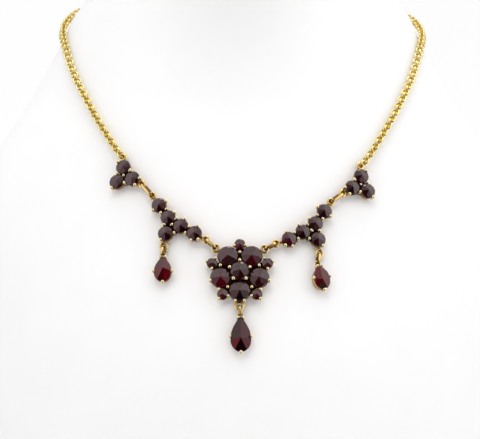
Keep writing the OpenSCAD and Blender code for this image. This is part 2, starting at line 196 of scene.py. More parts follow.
def bust_material():
    """white moulded surface with a very fine grain, and painted shade: a little greyer high up on the neck"""
    m, t, b = new_material("bust_white", IOR=1.45)
    b.inputs["Specular IOR Level"].default_value = 0.25
    n = noise(t, 60, 4, 0.55)
    r = ramp(t, [(0.3, (0.925, 0.923, 0.925)), (0.7, (0.94, 0.939, 0.937))])
    t.links.new(n.outputs["Fac"], r.inputs["Fac"])
    # painted shade: the colour is scaled down to 0.885 round a point high up in the middle of the neck
    where = t.nodes.new("ShaderNodeTexCoord")
    place = node(t, "ShaderNodeMapping")
    place.inputs["Location"].default_value = (0.06, 0.0, -0.172 / 0.062)
    place.inputs["Scale"].default_value = (1 / 0.034, 0.0, 1 / 0.062)
    t.links.new(where.outputs["Object"], place.inputs["Vector"])
    far = node(t, "ShaderNodeVectorMath", operation="LENGTH")
    t.links.new(place.outputs["Vector"], far.inputs[0])
    painted_neck_shade = node(t, "ShaderNodeMapRange", interpolation_type="SMOOTHSTEP")
    painted_neck_shade.inputs["To Min"].default_value, painted_neck_shade.inputs["To Max"].default_value = 0.885, 1.0
    t.links.new(far.outputs["Value"], painted_neck_shade.inputs["Value"])
    grey = node(t, "ShaderNodeVectorMath", operation="SCALE")
    t.links.new(r.outputs["Color"], grey.inputs[0])
    t.links.new(painted_neck_shade.outputs["Result"], grey.inputs["Scale"])
    t.links.new(grey.outputs["Vector"], b.inputs["Base Color"])
    g = noise(t, 1900, 3, 0.6)
    k = node(t, "ShaderNodeMapRange")
    k.inputs["To Min"].default_value, k.inputs["To Max"].default_value = 0.55, 0.7
    t.links.new(g.outputs["Fac"], k.inputs["Value"])
    t.links.new(k.outputs["Result"], b.inputs["Roughness"])
    bump(t, b, g.outputs["Fac"], 0.25, 0.00004)
    return m


def gold_material(name, light, deep, rough, amber_shade, painted_shade_and_tarnish):
    """polished gold with painted light: a point attribute rises to 1 deep in the setting, where the gold is rougher and
    painted amber, then dark brown, as shade that is partly tarnish; below 0 the attribute paints the gold pale as a
    highlight
    """
    m, t, b = new_material(name, Metallic=1.0)
    n = noise(t, 420, 3, 0.6)
    c = ramp(t, [(0.3, light), (0.75, deep)])
    t.links.new(n.outputs["Fac"], c.inputs["Fac"])
    a = node(t, "ShaderNodeAttribute", attribute_name="recess")
    painted_highlight = node(t, "ShaderNodeMapRange")
    painted_highlight.inputs["From Min"].default_value, painted_highlight.inputs["From Max"].default_value = 0.0, -1.0
    t.links.new(a.outputs["Fac"], painted_highlight.inputs["Value"])
    # painted highlight: below 0 the colour is mixed towards pale
    crest = node(t, "ShaderNodeMix", data_type="RGBA")
    pale = ramp(t, [(0.3, (0.96, 0.87, 0.52)), (0.75, (0.92, 0.78, 0.4))])
    t.links.new(n.outputs["Fac"], pale.inputs["Fac"])
    t.links.new(painted_highlight.outputs["Result"], crest.inputs["Factor"])
    t.links.new(c.outputs["Color"], crest.inputs["A"])
    t.links.new(pale.outputs["Color"], crest.inputs["B"])
    dull = node(t, "ShaderNodeMath", operation="MAXIMUM")
    t.links.new(a.outputs["Fac"], dull.inputs[0])
    dull.inputs[1].default_value = 0.0
    last = crest.outputs["Result"]
    # painted shade, partly tarnish: above 0 the colour turns amber, then dark brown
    for colour, lo, hi in ((amber_shade, 0.0, 0.45), (painted_shade_and_tarnish, 0.4, 0.95)):
        part = node(t, "ShaderNodeMapRange")
        part.inputs["From Min"].default_value, part.inputs["From Max"].default_value = lo, hi
        t.links.new(dull.outputs[0], part.inputs["Value"])
        mix = node(t, "ShaderNodeMix", data_type="RGBA")
        t.links.new(part.outputs["Result"], mix.inputs["Factor"])
        t.links.new(last, mix.inputs["A"])
        d = ramp(t, [(0.35, colour), (0.7, tuple(v * 0.7 for v in colour))])
        t.links.new(n.outputs["Fac"], d.inputs["Fac"])
        t.links.new(d.outputs["Color"], mix.inputs["B"])
        last = mix.outputs["Result"]
    t.links.new(last, b.inputs["Base Color"])
    f = noise(t, 2600, 4, 0.65)
    k = node(t, "ShaderNodeMapRange")
    k.inputs["From Min"].default_value, k.inputs["From Max"].default_value = 0.3, 0.7
    k.inputs["To Min"].default_value, k.inputs["To Max"].default_value = rough * 0.75, rough * 1.3
    t.links.new(f.outputs["Fac"], k.inputs["Value"])
    add = node(t, "ShaderNodeMath", operation="MULTIPLY_ADD")
    t.links.new(dull.outputs[0], add.inputs[0])
    add.inputs[1].default_value = 0.3
    t.links.new(k.outputs["Result"], add.inputs[2])
    t.links.new(add.outputs[0], b.inputs["Roughness"])
    bump(t, b, f.outputs["Fac"], 0.12, 0.00003)
    return m


def garnet_material(name, deep, full, rough=0.03, ior=1.82, tint=(1.0, 0.885, 0.875, 1.0)):
    """deep red stone; the facet attribute glow is the red painted on each facet: the stone's own red on most, and
    painted light, the red that comes back out of the stone, on the facets where it leaves
    """
    m, t, b = new_material(name, Roughness=rough, IOR=ior, Specular_Tint=tint)
    a = node(t, "ShaderNodeAttribute", attribute_name="glow")
    n = noise(t, 620, 3, 0.6)
    k = node(t, "ShaderNodeMapRange")
    k.inputs["From Min"].default_value, k.inputs["From Max"].default_value = 0.3, 0.7
    k.inputs["To Min"].default_value, k.inputs["To Max"].default_value = 0.7, 1.3
    t.links.new(n.outputs["Fac"], k.inputs["Value"])
    mul = node(t, "ShaderNodeMath", operation="MULTIPLY")
    t.links.new(a.outputs["Fac"], mul.inputs[0])
    t.links.new(k.outputs["Result"], mul.inputs[1])
    r = ramp(t, [(0.0, deep), (1.0, full)])
    t.links.new(mul.outputs[0], r.inputs["Fac"])
    t.links.new(r.outputs["Color"], b.inputs["Base Color"])
    return m


M_BUST = bust_material()
M_GOLD = gold_material("gold_setting", (0.9, 0.66, 0.26), (0.78, 0.48, 0.13), 0.1, (0.5, 0.25, 0.06), (0.05, 0.022, 0.007))
M_CHAIN = gold_material("gold_chain", (1.0, 0.84, 0.36), (0.97, 0.75, 0.24), 0.1, (0.6, 0.4, 0.09), (0.3, 0.16, 0.02))
M_GARNET = garnet_material("garnet_round", (0.0012, 0.0002, 0.0005), (0.26, 0.004, 0.022))
M_DROP = garnet_material("garnet_pear", (0.0014, 0.0002, 0.0005), (0.26, 0.003, 0.011), 0.035, ior=1.68, tint=(1.0, 0.82, 0.78, 1.0))
M_DROP_DARK = garnet_material("garnet_pear_dark", (0.0014, 0.0002, 0.0005), (0.26, 0.004, 0.014), 0.035, ior=1.54, tint=(1.0, 0.82, 0.82, 1.0))
FULL_RED = 0.26


# ------------------------------------------------------------------ meshes, gathered in millimetres
class Shell:
    def __init__(self):
        self.v, self.f, self.recess, self.n = [], [], [], 0

    def add(self, verts, faces, recess=0.0):
        verts = np.asarray(verts, float)
        self.v.append(verts)
        self.f += [tuple(i + self.n for i in f) for f in faces]
        if np.isscalar(recess):
            recess = np.full(len(verts), recess)
        self.recess.append(np.asarray(recess, float))
        self.n += len(verts)

    def build(self, name, material, slot, node_name, smooth=40):
        me = bpy.data.meshes.new(name)
        bm = bmesh.new()
        vs = [bm.verts.new(p) for p in np.concatenate(self.v) * MM]
        for f in self.f:
            bm.faces.new([vs[i] for i in f])
        bmesh.ops.recalc_face_normals(bm, faces=bm.faces)
        for f in bm.faces:
            f.smooth = True
        if smooth < 180:
            for e in bm.edges:
                if len(e.link_faces) == 2 and e.calc_face_angle(0) > math.radians(smooth):
                    e.smooth = False
        bm.to_mesh(me)
        bm.free()
        a = me.attributes.new("recess", "FLOAT", "POINT")
        a.data.foreach_set("value", np.concatenate(self.recess).astype(np.float32))
        return finish_piece(name, me, material, node_name)


def finish_piece(name, me, material, node_name):
    me.materials.append(material)
    o = bpy.data.objects.new(name, me)
    bpy.context.scene.collection.objects.link(o)
    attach(o, "root")
    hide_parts(node_name)
    return o


def sweep(points, radii, n=12, closed=False, flat=1.0, flat_dir=None):
    """a round bar along points; open ends are closed with a cap"""
    p = np.asarray(points, float)
    m = len(p)
    radii = np.full(m, radii) if np.isscalar(radii) else np.asarray(radii, float)
    if closed:
        d = np.roll(p, -1, 0) - np.roll(p, 1, 0)
    else:
        d = np.gradient(p, axis=0)
    d /= np.linalg.norm(d, axis=1)[:, None]
    first = np.asarray(flat_dir, float) if flat_dir is not None else (np.array([0, 0, 1.0]) if abs(d[0][2]) < 0.9 else np.array([1.0, 0, 0]))
    a = unit(first - d[0] * np.dot(first, d[0]))
    rings = []
    for k in range(m):
        a = a - d[k] * np.dot(a, d[k])
        a = a / np.linalg.norm(a)
        b = np.cross(d[k], a)
        t = np.linspace(0, 2 * math.pi, n, endpoint=False)
        rings.append(p[k] + radii[k] * (np.cos(t)[:, None] * a * flat + np.sin(t)[:, None] * b))
    v = np.concatenate(rings)
    f = []
    for k in range(m if closed else m - 1):
        k2 = (k + 1) % m
        for j in range(n):
            j2 = (j + 1) % n
            f.append((k * n + j, k * n + j2, k2 * n + j2, k2 * n + j))
    if not closed:
        f.append(tuple(range(n))[::-1])
        f.append(tuple(range((m - 1) * n, m * n)))
    return v, f


def lathe(profile, n, at=(0, 0)):
    """profile is (radius, height) from the axis round to the axis again"""
    v, f, rows = [], [], []
    for r, z in profile:
        if r < 1e-6:
            rows.append([len(v)])
            v.append((at[0], at[1], z))
        else:
            rows.append(list(range(len(v), len(v) + n)))
            v += [(at[0] + r * math.cos(2 * math.pi * j / n), at[1] + r * math.sin(2 * math.pi * j / n), z) for j in range(n)]
    for a, b in zip(rows, rows[1:]):
        for j in range(n):
            j2 = (j + 1) % n
            if len(a) == 1:
                f.append((a[0], b[j2], b[j]))
            elif len(b) == 1:
                f.append((a[j], a[j2], b[0]))
            else:
                f.append((a[j], a[j2], b[j2], b[j]))
    return np.array(v, float), f


def ball(centre, size, axis=(0, 0, 1), along_dir=(1, 0, 0), rows=8, n=14):
    """an ellipsoid: size is its half lengths along along_dir, across it and along axis"""
    v, f = lathe([(math.sin(math.pi * k / rows), -math.cos(math.pi * k / rows)) for k in range(rows + 1)], n)
    v[0, :2] = v[-1, :2] = 0
    z = unit(axis)
    x = unit(np.asarray(along_dir, float) - z * np.dot(z, along_dir))
    y = np.cross(z, x)
    return np.asarray(centre) + v[:, :1] * size[0] * x + v[:, 1:2] * size[1] * y + v[:, 2:3] * size[2] * z, f


# ------------------------------------------------------------------ gold work in a seat's frame
def bead_highlight_and_shade(v, c, w):
    """a bead's shade-and-highlight value before it is placed: below 0 a painted highlight, pale on its crest; above 0
    painted shade, brown round its foot
    """
    high = (v[:, 2] - c[2]) / w
    return np.clip(0.55 - 1.75 * np.clip(high + 0.55, 0, 1), -1, 0.55)


class Setting(Shell):
    def __init__(self, seat):
        super().__init__()
        self.seat = seat

    def put(self, verts, faces, recess=None):
        verts = np.asarray(verts, float)
        if recess is None:
            # painted shade: darker towards the plate, low in the setting
            recess = np.clip((1.25 - verts[:, 2]) / 0.7, 0, 1) * 0.75
        self.add(self.seat(verts), faces, recess)

    def collet(self, at, d, top=COLLET_H):
        r = d / 2

        def wall(z):
            return r - 0.06 - 0.42 * (1 - z / top)

        mid = 0.5 * top + 0.2
        prof = [(0, 0), (r - 0.36, 0), (r - 0.3, 0.06), (r - 0.3, 0.42), (r - 0.36, 0.5), (wall(0.56), 0.56), (wall(mid), mid),
                (wall(top - 0.34), top - 0.34), (r - 0.06, top - 0.14), (r - 0.03, top - 0.05), (r - 0.07, top), (r - 0.24, top),
                (r - 0.42, top - 0.3), (wall(0.8) - 0.42, 0.8), (0, 0.62)]
        v, f = lathe(prof, 40, at)
        # painted shade: dark inside the cup under the stone, the outer wall darker towards its foot
        inside = np.linalg.norm(v[:, :2] - np.asarray(at, float), axis=1) < r - 0.75
        self.put(v, f, np.where(inside, 1.0, np.clip((top - 0.1 - v[:, 2]) / (top - 0.6), 0, 1) * 0.34))

    def bar(self, a, b, w):
        """a flat bar of the plate with eased edges"""
        a, b = np.asarray(a, float), np.asarray(b, float)
        u = (b - a) / np.linalg.norm(b - a)
        t = np.array([-u[1], u[0]])
        sec = [(-w / 2 + 0.06, 0.03), (w / 2 - 0.06, 0.03), (w / 2, 0.09), (w / 2, 0.41), (w / 2 - 0.06, 0.47), (-w / 2 + 0.06, 0.47), (-w / 2, 0.41), (-w / 2, 0.09)]
        v = [(*(q + t * y), z) for q in (a, b) for y, z in sec]
        f = [(k, (k + 1) % 8, 8 + (k + 1) % 8, 8 + k) for k in range(8)] + [tuple(range(8))[::-1], tuple(range(8, 16))]
        # painted shade: the bars between the stones are dark all over
        self.put(np.array(v), f, 1.0)

    def disc(self, at, r):
        v, f = lathe([(0, 0.02), (r - 0.06, 0.02), (r, 0.08), (r, 0.42), (r - 0.06, 0.48), (0, 0.48)], 32, at)
        # painted shade: the disc is dark all over
        self.put(v, f, 1.0)

    def claw(self, at, z=STONE_Z, lean=(0, 0), bead=BEAD_D, long=1.0, dirn=None, foot=None):
        """a wire from the plate up to the stone's edge, closed by a bead that leans over the stone"""
        lean = np.asarray(lean, float)
        at = np.asarray(at, float)
        zb = z + GIRDLE + bead * 0.47 + 0.12
        c = np.array([at[0] + lean[0], at[1] + lean[1], zb])
        if foot is None:
            pts = [(*at, 0.25), (*at, 0.9), (*at, z - 0.15)]
        else:
            pts = [(*foot, 0.25), (*(foot + (at - foot) * 0.9), 1.15), (*at, 1.38), (*at, z - 0.05)]
        knee = np.array(pts[-1])
        s = np.linspace(0, 1, 5)[1:, None]
        n0 = len(pts)
        pts = np.concatenate([pts, knee + (c - knee) * s])
        self.put(*sweep(pts, [CLAW_D / 2] * (n0 + 1) + [CLAW_D / 2 * 0.98, CLAW_D / 2 * 0.96, CLAW_D / 2 * 0.7], 12))
        w = bead / 2 * (1 + wander(0.06))
        if dirn is None:
            dirn = lean if np.linalg.norm(lean) > 0.01 else polar(1, wander(180))
            long = 1 + abs(wander(0.08))
        tilt = unit([-lean[0] * 1.2 + wander(0.12), -lean[1] * 1.2 + wander(0.12), 1])
        v, f = ball(c, (w * long, w * (1 - 0.08 * (long > 1.1)), w * 0.94), tilt, (dirn[0], dirn[1], 0), 9, 16)
        # painted highlight: pale on its top; painted shade: browner round its foot
        self.put(v, f, bead_highlight_and_shade(v, c, w))

    def edge_claw(self, at, d, a, z=STONE_Z, bead=BEAD_D, long=1.0, dirn=None):
        r = d / 2 + CLAW_D / 2 + 0.04
        u = polar(1, a)
        self.claw(np.asarray(at) + r * u, z, -0.16 * u, bead, long, dirn, foot=np.asarray(at) + (r - 0.85) * u)

    def ring(self, at, r, z=RING_Z, wire=RING_WIRE):
        t = np.linspace(0, 2 * math.pi, 40, endpoint=False)
        wob = wander(0.02)
        pts = np.stack([at[0] + r * np.cos(t), at[1] + r * np.sin(t), z + wob * np.cos(t)], 1)
        v, f = sweep(pts, wire / 2, 16, True, flat_dir=(0, 0, 1))
        v = np.asarray(v)
        inner = (r - np.linalg.norm(v[:, :2] - np.asarray(at, float), axis=1)) / (wire / 2)      # 1 inside, -1 outside
        high = (v[:, 2] - z) / (wire / 2)
        # painted shade on the inside and the low side of the wire, a painted highlight on its top
        self.put(v, f, np.clip(0.8 * inner - 0.65 * high + 0.42, -0.35, 0.8))

    def tied_ring(self, start, d, at, r, z=RING_Z, wire=RING_WIRE):
        v = np.asarray(at, float) - np.asarray(start, float)
        length = np.linalg.norm(v)
        u = v / length
        self.ring(at, r, z, wire)
        a, b = d / 2 - 0.6, length - r + 0.02
        s = np.linspace(a, b, 5)
        pts = np.stack([start[0] + u[0] * s, start[1] + u[1] * s, np.full(5, z)], 1)
        # painted shade: the post is a little amber all along
        self.put(*sweep(pts, np.array([0.44, 0.44, 0.43, 0.43, 0.38]) * wire, 14, flat=1.35, flat_dir=np.array([-u[1], u[0], 0.0])), 0.4)


# ------------------------------------------------------------------ stones
def gem(edge, planes, girdle=GIRDLE, top=3.0):
    """a prism over the outline edge, cut by planes z = c - a x - b y; returns the cut solid as a bmesh"""
    bm = bmesh.new()
    m = len(edge)
    low = [bm.verts.new((p[0], p[1], 0)) for p in edge]
    high = [bm.verts.new((p[0], p[1], top)) for p in edge]
    bm.faces.new(low[::-1])
    bm.faces.new(high)
    for k in range(m):
        bm.faces.new((low[k], low[(k + 1) % m], high[(k + 1) % m], high[k]))
    for a, b, c in planes:
        nrm = Vector((a, b, 1)).normalized()
        cut = bmesh.ops.bisect_plane(bm, geom=bm.verts[:] + bm.edges[:] + bm.faces[:], dist=1e-5,
                                     plane_co=(0, 0, c), plane_no=nrm, clear_outer=True)
        edges = [e for e in cut["geom_cut"] if isinstance(e, bmesh.types.BMEdge)]
        if len(edges) > 2:
            bmesh.ops.contextual_create(bm, geom=edges)
    bmesh.ops.remove_doubles(bm, verts=bm.verts, dist=1e-4)
    bmesh.ops.recalc_face_normals(bm, faces=bm.faces)
    return bm


def plane(a, s, through):
    """the plane that falls with slope s towards direction a and passes through the point"""
    u = polar(s, a)
    return (u[0], u[1], through[2] + u[0] * through[0] + u[1] * through[1])


def finish_gem(bm, seat, at, z, name, node_name, material, facets, side):
    """facets pairs each cutting plane with the red painted on that facet, partly light that comes out of it; side is
    for the upright edge
    """
    ns = np.array([unit((a, b, 1)) for (a, b, c), red in facets])
    reds = [red for plane_, red in facets]
    marks = []
    for f in bm.faces:
        n = np.array(f.normal)
        marks.append(side if n[2] < 0.2 else reds[int(np.argmax(ns @ n))])
        f.smooth = False
    for v in bm.verts:
        v.co = Vector(seat.one(at[0] + v.co.x, at[1] + v.co.y, z + v.co.z) * MM)
    me = bpy.data.meshes.new(name)
    bm.to_mesh(me)
    bm.free()
    a = me.attributes.new("glow", "FLOAT", "FACE")
    a.data.foreach_set("value", np.array(marks, np.float32) / FULL_RED)
    return finish_piece(name, me, material, node_name)


def round_stone(seat, at, d, h, down, node_name, red=0.014, base=0.022, z=STONE_Z, wide=1.0):
    """a rose cut; down is the direction of the star facet that mirrors the dark front, red the painted light that comes
    out of it
    """
    r = d / 2
    hr = random.Random(node_name)

    def j(a):
        return hr.uniform(-a, a)

    edge = [polar(r, k * 360 / 56) for k in range(56)]
    facets = []
    for k in range(6):                                    # the star
        a = down + 60 * k + (j(3) if k else 0)
        facets.append((plane(a, (0.45 * h) / (0.65 * r) * (1 + j(0.1) if k else wide), (0.0, 0.0, GIRDLE + h)),
                       red if k == 0 else base * (1 + j(0.45)) + (red * 0.3 if k in (1, 5) else 0)))
    for k in range(6):                                    # under the star's points
        a = down + 30 + 60 * k + j(3)
        facets.append((plane(a, 1.1 * h / r * (1 + j(0.06)), (*polar(0.76 * r, a), GIRDLE + 0.53 * h)),
                       red * (1.3 + j(0.4)) if k in (0, 5) else base * (1 + j(0.5))))
    for k in range(12):                                   # along the rim
        a = down + 15 + 30 * k + j(3)
        facets.append((plane(a, 1.5 * (1 + j(0.05)), (*polar(r * 0.985, a), GIRDLE + 0.14)),
                       red * (1.2 + j(0.5)) if k in (0, 11, 1, 10) else base * (1 + j(0.5))))
    bm = gem(edge, [p for p, red_ in facets])
    return finish_gem(bm, seat, at, z, node_name + "_cut", node_name, M_GARNET, facets, 0.004)


# ------------------------------------------------------------------ the bust
def build_bust():
    zs = [0.0, 0.5, 1.5, 2.7, 4.0] + [z for z in np.arange(6.0, BUST_H - 7, 2.0)] + [
        BUST_H - 7, BUST_H - 6, BUST_H - 4.6, BUST_H - 3.3, BUST_H - 2.2, BUST_H - 1.3, BUST_H - 0.6, BUST_H - 0.15, BUST_H]
    n = 144
    v, rows = [], []
    for z in zs:
        a, f, b = along(z, HALF_W), along(z, FRONT), along(z, BACK)
        # the edges at the base and at the top are rounded over a little
        pull = 0.0
        if z < 4:
            pull = 1.6 * (1 - math.sqrt(max(0, 1 - ((4 - z) / 4) ** 2))) * 0.9
        if z > BUST_H - 4.6:
            pull = 2.6 * (1 - math.sqrt(max(0, 1 - ((z - BUST_H + 4.6) / 4.6) ** 2)))
        rows.append(len(v))
        for k in range(n):
            t = 2 * math.pi * k / n
            v.append(((a - pull) * math.sin(t), -((f if math.cos(t) > 0 else b) - pull) * math.cos(t), z))
    faces = []
    for i in range(len(zs) - 1):
        for k in range(n):
            k2 = (k + 1) % n
            faces.append((rows[i] + k, rows[i] + k2, rows[i + 1] + k2, rows[i + 1] + k))
    # the top and the base: rings that close to a middle point
    for row, z, inward in ((rows[-1], BUST_H, 1), (rows[0], 0.0, -1)):
        prev = list(range(row, row + n))
        for s in (0.93, 0.75, 0.5, 0.25):
            cur = list(range(len(v), len(v) + n))
            for k in range(n):
                x, y, _ = v[row + k]
                v.append((x * s, y * s, z + (0.25 * (1 - s) if inward > 0 else 0.0)))
            for k in range(n):
                faces.append((prev[k], prev[(k + 1) % n], cur[(k + 1) % n], cur[k]))
            prev = cur
        v.append((0, 0, z + (0.25 if inward > 0 else 0.0)))
        for k in range(n):
            faces.append((prev[k], prev[(k + 1) % n], len(v) - 1))
    s = Shell()
    s.add(v, faces)
    return s.build("bust_form", M_BUST, "bust", "bust", smooth=50)


build_bust()

# ------------------------------------------------------------------ rosette
PETAL_R, SMALL_R = 5.9, 8.45


def petal_size(k):
    return PETAL_D + (0.15, 0, -0.1, 0.2, -0.1)[k]


def petal_at(k):
    return polar(PETAL_R, 54 + 72 * k)


def small_at(k):
    return polar(SMALL_R, 90 + 72 * k)


ROSETTE_RINGS, ROSETTE_RING_R = {-1: (-7.0, 7.45), 1: (7.2, 7.2)}, 1.0
ROSETTE_LOOP, ROSETTE_LOOP_R = (-0.1, -10.05), 1.12

g = Setting(ROSETTE)
g.collet((0, 0), CENTRE_D, COLLET_H + RISE)
for k in range(5):
    g.collet(petal_at(k), petal_size(k))
    g.collet(small_at(k), SMALL_D)
    g.bar((0, 0), small_at(k), 2.4)
for k in range(5):
    g.claw(polar(CENTRE_D / 2 + CLAW_D / 2 + 0.05, 90 + 72 * k), STONE_Z + RISE, bead=BEAD_D * 1.06)
    g.claw(polar(PETAL_R, 90 + 72 * k), bead=BEAD_D * 1.02)
    if k:
        g.edge_claw(small_at(k), SMALL_D, 90 + 72 * k, bead=BEAD_D * 0.9)
    for s in (-1, 1):
        g.edge_claw(small_at(k), SMALL_D, 90 + 72 * k + s * 106, bead=BEAD_D * 0.94)
for k in (2, 4):
    g.edge_claw(petal_at(k), petal_size(k), 54 + 72 * k)
for s in (-1, 1):
    g.edge_claw(petal_at(3), petal_size(3), 270 + s * 24)
for s in (0, 1):
    g.tied_ring(petal_at(s), petal_size(s), ROSETTE_RINGS[1 - 2 * s], ROSETTE_RING_R)
g.tied_ring(petal_at(3), petal_size(3), ROSETTE_LOOP, ROSETTE_LOOP_R)
g.build("rosette_setting_gold", M_GOLD, "gold", "rosette_setting")

round_stone(ROSETTE, (0, 0), CENTRE_D, 1.35, 285, "rosette_stone_centre", red=0.012, z=STONE_Z + RISE, wide=0.92)
# petals from the upper right round to the lower right: the dark facet's direction, its painted red light
for k, (down, red, wide) in enumerate([(262, 0.036, 1.2), (302, 0.014, 1.12), (274, 0.05, 1.2), (270, 0.003, 0.95), (258, 0.016, 0.9)]):
    round_stone(ROSETTE, petal_at(k), petal_size(k), 1.4, down, "rosette_petal_%d" % (k + 1), red=red, wide=wide)
# small stones from the top round
for k, (down, red) in enumerate([(288, 0.045), (304, 0.014), (300, 0.02), (225, 0.02), (238, 0.034)]):
    round_stone(ROSETTE, small_at(k), SMALL_D, 0.85, down, "rosette_small_%d" % (k + 1), red=red, base=0.035)

# ------------------------------------------------------------------ branches
BRANCH_STONES = [(-4.8, 5.4), (-1.75, 1.65), (2.2, -0.8), (-2.1, -3.25), (6.45, -2.95)]
# place, and the way that the bead is drawn out
BRANCH_BETWEEN = [((-4, 2.95), 20, 1.0), ((-2.4, 4.15), 10, 1.15), ((0.8, 1.35), 45, 1.5), ((-2.75, -0.72), 5, 1.35),
                  ((-0.38, -0.6), 50, 1.35), ((4.75, -1), 100, 1.2), ((3.8, -3), 60, 1.15), ((0.55, -3.05), 0, 1.0)]
BRANCH_OUTER = [(1, 32), (1, 226), (2, 41), (3, 62), (4, 240), (5, 70), (5, 252), (5, 305)]
BRANCH_BARS = [(1, 2), (2, 3), (2, 4), (3, 4), (3, 5)]
BRANCH_RING_R, BRANCH_RINGS = 0.88, {-1: [(-7.25, 8.6), (9.9, -4.6)], 1: [(-7.1, 8.5), (10.35, -3.95)]}
BRANCH_LOOPS, BRANCH_LOOP_R = {-1: (-2.35, -7.05), 1: (-2.2, -7.3)}, 1.0
# the dark facet's direction, its painted red light
BRANCH_CUT = {-1: [(285, 0.009, 1.0), (305, 0.01, 1.05), (302, 0.008, 1.1), (305, 0.01, 1.1), (312, 0.014, 1.0)],
              1: [(246, 0.01, 1.0), (212, 0.009, 1.05), (258, 0.006, 1.1), (238, 0.016, 1.05), (262, 0.034, 1.05)]}


def mirrored(s, q):
    return (-s * q[0], q[1])


for s in (-1, 1):
    g = Setting(BRANCHES[s])
    for c in BRANCH_STONES:
        g.collet(mirrored(s, c), ROUND_D)
    for a, b in BRANCH_BARS:
        g.bar(mirrored(s, BRANCH_STONES[a - 1]), mirrored(s, BRANCH_STONES[b - 1]), 2.1)
    g.disc(mirrored(s, (-0.55, -0.8)), 1.1)
    for c, a, long in BRANCH_BETWEEN:
        g.claw(mirrored(s, c), long=long, dirn=polar(1, a if s < 0 else 180 - a), bead=BEAD_D * (1.0 if long < 1.1 else 0.94))
    for k, a in BRANCH_OUTER:
        g.edge_claw(mirrored(s, BRANCH_STONES[k - 1]), ROUND_D, a if s < 0 else 180 - a)
    for k in (0, 1):
        g.tied_ring(mirrored(s, BRANCH_STONES[4 * k]), ROUND_D, mirrored(s, BRANCH_RINGS[s][k]), BRANCH_RING_R)
    g.tied_ring(mirrored(s, BRANCH_STONES[3]), ROUND_D, mirrored(s, BRANCH_LOOPS[s]), BRANCH_LOOP_R)
    g.build("branch_%s_setting_gold" % SIDES[s], M_GOLD, "gold", "branch_%s_setting" % SIDES[s])
    for k, c in enumerate(BRANCH_STONES):
        down, red, wide = BRANCH_CUT[s][k]
        round_stone(BRANCHES[s], mirrored(s, c), ROUND_D, 1.15, down, "branch_%s_stone_%d" % (SIDES[s], k + 1), red=red, wide=wide)

# ------------------------------------------------------------------ trefoils
TREFOIL_RING_R, TREFOIL_RINGS = 0.88, {-1: [(-1.35, 6.1), (5.6, -2.35)], 1: [(-0.9, 6.15), (5.6, -2.35)]}
TREFOIL_OUTER = [(1, 140), (2, 0), (2, 300), (3, 238)]
TREFOIL_CUT = {-1: [(326, 0.016, 0.75, 0.95), (355, 0.006, 0.6, 0.75), (330, 0.01, 0.65, 0.75)],
               1: [(205, 0.01, 0.95, 1.1), (240, 0.006, 1.05, 1.15), (212, 0.012, 1.0, 1.15)]}


def trefoil_at(k):
    return polar(2.8, 102 - 120 * k)


for s in (-1, 1):
    g = Setting(TREFOILS[s])
    for k in range(3):
        g.collet(mirrored(s, trefoil_at(k)), ROUND_D)
    g.disc((0, 0), 1.7)
    g.claw((0, 0), bead=BEAD_D * 0.85)
    for k in range(3):
        a = 102 + 60 - 120 * k
        g.bar((0, 0), mirrored(s, polar(2.36, a)), 1.4)
        g.claw(mirrored(s, polar(2.36, a)), long=1.4, dirn=mirrored(s, polar(1, a + (25 if k else 0))), bead=BEAD_D * 0.9)
    for k, a in TREFOIL_OUTER:
        g.edge_claw(mirrored(s, trefoil_at(k - 1)), ROUND_D, a if s < 0 else 180 - a)
    for k in (0, 1):
        g.tied_ring(mirrored(s, trefoil_at(k)), ROUND_D, mirrored(s, TREFOIL_RINGS[s][k]), TREFOIL_RING_R)
    g.build("trefoil_%s_setting_gold" % SIDES[s], M_GOLD, "gold", "trefoil_%s_setting" % SIDES[s])
    for k in range(3):
        down, red, wide, h = TREFOIL_CUT[s][k]
        round_stone(TREFOILS[s], mirrored(s, trefoil_at(k)), ROUND_D, h, down, "trefoil_%s_stone_%d" % (SIDES[s], k + 1), red=red, wide=wide)

# ------------------------------------------------------------------ pear drops
# width, lengths above and below the widest line, height of the facets, fullness of the sides above and below
SIDE_L = 7.6
DROP_SIZES = [(6.0, 10.3 * 0.667, 10.3 * 0.333, 1.5, 2.1),
              (5.2, (SIDE_L + 0.2) * 0.61, (SIDE_L + 0.2) * 0.39, 1.35, 2.05),
              (5.2, (SIDE_L - 0.2) * 0.55, (SIDE_L - 0.2) * 0.45, 1.35, 2.0)]
DROP_RING_R, DROP_RING_Z, DROP_RING_UP, DROP_WIRE = 0.72, 1.08, [0.6, 0.6, 0.65], 0.48
CLAW_UP = (1.1, 0.15, 0.35)


def pear(w, tip, foot, full, n=64):
    pts = []
    for k in range(n):
        a = 2 * math.pi * k / n
        c = 0 if abs(math.cos(a)) < 1e-6 else math.copysign(1, math.cos(a))
        if a <= math.pi + 1e-9:
            pts.append((c * w / 2 * (1 - abs(math.sin(a)) ** full), tip * math.sin(a)))
        else:
            pts.append((w / 2 * math.cos(a), foot * math.sin(a)))
    return np.array(pts)


